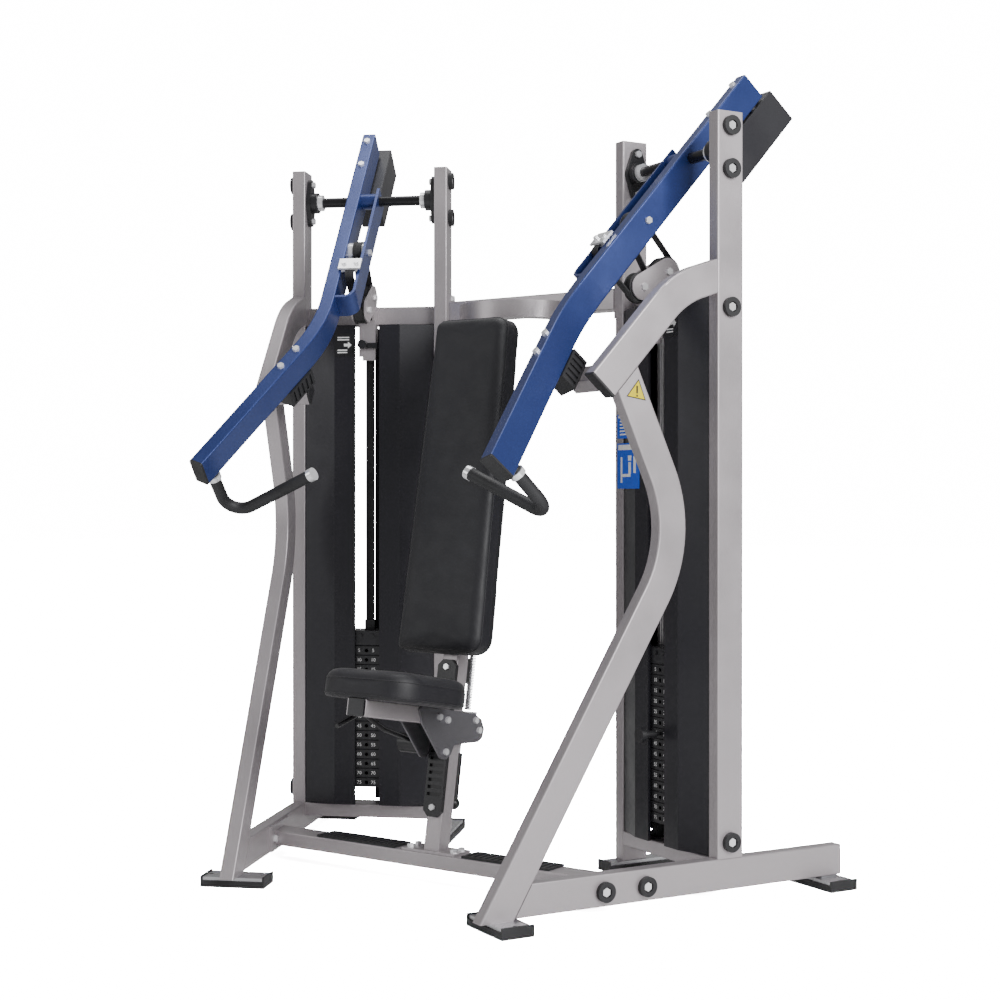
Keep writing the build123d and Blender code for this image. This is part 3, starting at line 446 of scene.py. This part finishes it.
def belt(name, path, side, other, x=BELT_X, wide=0.026, thick=0.003):
    """Strip along a path of (y, z, share that follows the other body)."""
    bm = bmesh.new()
    shares, rows = [], []
    for i, (y, z, w) in enumerate(path):
        a, b = path[max(0, i - 1)], path[min(len(path) - 1, i + 1)]
        length = math.hypot(b[0] - a[0], b[1] - a[1])
        ny, nz = -(b[1] - a[1]) / length, (b[0] - a[0]) / length
        row = []
        for sx, sn in ((-1, -1), (1, -1), (1, 1), (-1, 1)):
            p = (x + sx * wide / 2, y + ny * sn * thick / 2, z + nz * sn * thick / 2)
            row.append(bm.verts.new(module(p, side)))
            shares.append(w)
        rows.append(row)
    for r0, r1 in zip(rows, rows[1:]):
        for k in range(4):
            bm.faces.new((r0[k], r0[(k + 1) % 4], r1[(k + 1) % 4], r1[k]))
    bm.faces.new(rows[0][::-1])
    bm.faces.new(rows[-1])
    bmesh.ops.recalc_face_normals(bm, faces=bm.faces)
    mesh = bpy.data.meshes.new(name)
    bm.to_mesh(mesh)
    bm.free()
    o = link(name, mesh)
    mesh.materials.append(FINISH["belt"])
    ends = module((x, *path[0][:2]), side), module((x, *path[-1][:2]), side)
    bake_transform(o, "frame", other, *ends)
    mesh.attributes["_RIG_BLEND"].data.foreach_set("value", shares)
    return o


for word, side in SIDES:
    run = belt("belt_run_" + word, ARM_RUN, side, "arm_" + word)
    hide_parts("belt_" + word)
    belt("belt_drop_" + word, STACK_RUN, side, "stack_" + word)


# ------------------------------------------------------------------ seat spring
COIL_Y, COIL_LOW, COIL_HIGH = 0.078, -0.008, 0.164
coil = link("seat_coil", NODES["seat_spring"].data.copy())
coil.data.materials.clear()
coil.data.materials.append(FINISH["steel"])
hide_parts("seat_spring")
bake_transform(coil, "seat", "frame", post(0, COIL_Y, COIL_LOW), post(0, COIL_Y, COIL_HIGH))


# ------------------------------------------------------------------ flat graphics
def plaque(name, origin, across, up, layers, body):
    """Thin prisms on a plane: layers are (finish, first height, last height, outline in across/up)."""
    normal = across.cross(up).normalized()
    bm = bmesh.new()
    mesh = bpy.data.meshes.new(name)
    for k, (finish, h0, h1, outline) in enumerate(layers):
        mesh.materials.append(FINISH[finish])
        low = [bm.verts.new(origin + across * u + up * v + normal * h0) for u, v in outline]
        top = [bm.verts.new(origin + across * u + up * v + normal * h1) for u, v in outline]
        n = len(outline)
        faces = [bm.faces.new(low[::-1]), bm.faces.new(top)]
        faces += [bm.faces.new((low[i], low[(i + 1) % n], top[(i + 1) % n], top[i])) for i in range(n)]
        for f in faces:
            f.material_index = k
    bm.to_mesh(mesh)
    bm.free()
    o = link(name, mesh)
    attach(o, body)
    return o


def rect(u0, u1, v0, v1):
    return [(u0, v0), (u1, v0), (u1, v1), (u0, v1)]


def shrink(points, k):
    cu, cv = sum(p[0] for p in points) / len(points), sum(p[1] for p in points) / len(points)
    return [(cu + (u - cu) * k, cv + (v - cv) * k) for u, v in points]


def anticlockwise(points):
    """The outline in the order that makes its prism face outward."""
    doubled = sum((b[0] - a[0]) * (b[1] + a[1]) for a, b in zip(points, points[1:] + points[:1]))
    return points[::-1] if doubled > 0 else points


UP = Vector((0, 0, 1))
LEG_FACE, COVER_FACE, CARD_FACE = 0.238, -0.066, -0.0672     # planes that the signs lie on, module frame


def caution(word, side):
    """Triangle with a plain mark, on the outer face of the leg."""
    tri = anticlockwise([(-side * u, v) for u, v in ((0.031, -0.012), (-0.026, -0.021), (-0.005, 0.032))])
    mid = sum(p[0] for p in tri) / 3
    half = 0.0024
    layers = [("print_black", 0.0002, 0.0006, tri), ("print_yellow", 0.0006, 0.0008, shrink(tri, 0.86))]
    for v0, v1 in ((-0.004, 0.015), (-0.012, -0.0075)):
        layers.append(("print_black", 0.0008, 0.0010, rect(mid - half, mid + half, v0, v1)))
    origin = module((LEG_FACE, -0.287, 1.2917), side)
    return plaque("caution_" + word, origin, module_dir((0, side, 0), side), UP, layers, "frame")


def pointer(word, side):
    """Arrow and bars beside the window of the cover."""
    shaft, head, tip = 0.012, 0.010, 0.024
    arrow = [(0.0, -0.004), (shaft, -0.004), (shaft, -head), (tip, 0.0), (shaft, head), (shaft, 0.004),
             (0.0, 0.004)]
    layers = [("print_black", 0.0002, 0.0012, rect(-0.028, 0.028, -0.035, 0.035)),
              ("print_white", 0.0012, 0.0014, arrow)]
    for v in (0.021, 0.014, -0.017, -0.024):
        bar = rect(-0.020, 0.016 if v > 0 else 0.010, v, v + 0.0035)
        layers.append(("print_white", 0.0012, 0.0014, bar))
    origin = module((0.070, COVER_FACE, 1.487), side)
    return plaque("pointer_" + word, origin, module_dir((side, 0, 0), side), UP, layers, "frame")


def guide(name, z0, z1, marks):
    """Blue card with a white header strip and simple white shapes, on the right module's cover."""
    hu, hz = 0.0525, (z1 - z0) / 2
    header = rect(-hu * 0.9, hu * 0.9, hz * 0.70, hz * 0.93)
    layers = [("print_blue", -0.0012, 0.0004, rect(-hu, hu, -hz, hz))]
    layers += [("print_white", 0.0004, 0.0006, outline) for outline in (header, *marks)]
    origin = module((-0.1315, CARD_FACE, (z0 + z1) / 2), 1)
    return plaque(name, origin, module_dir((1, 0, 0), 1), UP, layers, "frame")


# post, seat, body, head and handle of a seated figure
FIGURE = [rect(-0.036, -0.028, -0.046, 0.024), rect(-0.028, 0.012, -0.030, -0.022),
          rect(0.002, 0.014, -0.022, 0.010), rect(0.000, 0.016, 0.014, 0.028),
          rect(0.026, 0.038, -0.020, 0.026)]
BARS = [rect(-0.040, end, v, v + 0.004)
        for end, v in ((0.036, 0.012), (0.028, 0.003), (0.036, -0.006), (0.020, -0.015), (0.030, -0.024))]

for word, side in SIDES:
    caution(word, side)
    pointer(word, side)
guide("guide_card", 1.055, 1.179, FIGURE)
guide("guide_strip", 1.192, 1.258, BARS)
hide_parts("placards")


# ------------------------------------------------------------------ numbers on the weight plates
STACK_TOP, PLATE_PITCH, PLATE_MIDDLE = 0.587, 0.0282, 0.01385
PLATE_FACE, STEP, DIGITS = -0.0562, 5, 0.0145
SELECTED, PLATES = 7, 15


def numbers(name, side, first, last, body):
    """Multiples of the plate step, either side of each plate's pin hole."""
    across = module_dir((side, 0, 0), side)
    normal = module_dir((0, -1, 0), side)
    turn = Matrix((across, UP, normal)).transposed().to_4x4()
    bm = bmesh.new()
    for i in range(first, last):
        z = STACK_TOP - PLATE_PITCH * (i + 1) + PLATE_MIDDLE
        for dx in (-0.021, 0.022):
            text = bpy.data.curves.new("n", "FONT")
            text.body, text.size, text.extrude = str(STEP * (i + 1)), DIGITS, 0.0001
            text.align_x, text.align_y, text.resolution_u = "CENTER", "CENTER", 4
            holder = link("n", text)
            mesh = evaluated_mesh(holder)
            at = module((BELT_X + dx, PLATE_FACE, z), side)
            mesh.transform(Matrix.Translation(at) @ turn)
            bm.from_mesh(mesh)
            bpy.data.objects.remove(holder)
            bpy.data.meshes.remove(mesh)
    mesh = bpy.data.meshes.new(name)
    bm.to_mesh(mesh)
    bm.free()
    mesh.materials.append(FINISH["print_white"])
    o = link(name, mesh)
    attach(o, body)


for word, side in SIDES:
    numbers("numbers_up_" + word, side, 0, SELECTED, "stack_" + word)
    numbers("numbers_down_" + word, side, SELECTED, PLATES, "frame")

# ------------------------------------------------------------------ studio
SEEN_FLOOR, SEEN_WORLD, AMBIENT = 60, 16, 0.34     # floor and backdrop are white only to the camera
bpy.ops.mesh.primitive_plane_add(size=60, location=(0, 0, -0.0005))
ground = bpy.context.object
ground.name = "floor"
g = Graph("studio_floor", (0.9, 0.9, 0.9), 0.6)
seen = g.add("ShaderNodeLightPath").outputs["Is Camera Ray"]
bright = g.add("ShaderNodeBsdfDiffuse", Color=(*[SEEN_FLOOR] * 3, 1))
mixed = g.add("ShaderNodeMixShader", Fac=seen)
g.tree.links.new(g.bsdf.outputs["BSDF"], mixed.inputs[1])
g.tree.links.new(bright.outputs["BSDF"], mixed.inputs[2])
g.tree.links.new(mixed.outputs["Shader"], g.tree.nodes["Material Output"].inputs["Surface"])
ground.data.materials.append(g.mat)

world = bpy.data.worlds.new("studio")
bpy.context.scene.world = world
world.use_nodes = True
backdrop = world.node_tree.nodes["Background"]
backdrop.inputs["Color"].default_value = (1, 1, 1, 1)
ray = world.node_tree.nodes.new("ShaderNodeLightPath")
level = world.node_tree.nodes.new("ShaderNodeMapRange")
level.inputs["To Min"].default_value, level.inputs["To Max"].default_value = AMBIENT, SEEN_WORLD
world.node_tree.links.new(ray.outputs["Is Camera Ray"], level.inputs["Value"])
world.node_tree.links.new(level.outputs["Result"], backdrop.inputs["Strength"])


def softbox(name, location, width, height, power, target=(0, 0, 1.0)):
    data = bpy.data.lights.new(name, "AREA")
    data.shape, data.size, data.size_y, data.energy = "RECTANGLE", width, height, power
    o = bpy.data.objects.new(name, data)
    bpy.context.scene.collection.objects.link(o)
    o.location = location
    o.rotation_euler = (Vector(target) - Vector(location)).to_track_quat("-Z", "Y").to_euler()


softbox("key", (4.6, -1.6, 2.9), 2.6, 3.0, 330)
softbox("fill", (-3.2, -4.6, 2.4), 2.5, 2.5, 50)
softbox("top", (0.0, 0.8, 5.0), 3.0, 3.0, 110)

camera = bpy.data.cameras.new("camera")
camera.lens, camera.sensor_width = 61.518, 36
camera.clip_end = 200
view = bpy.data.objects.new("camera", camera)
bpy.context.scene.collection.objects.link(view)
view.location = (2.75687, -4.01396 + SHIFT_Y, 1.02962)
view.rotation_euler = (math.radians(89.93), 0, math.radians(34.981))
bpy.context.scene.camera = view
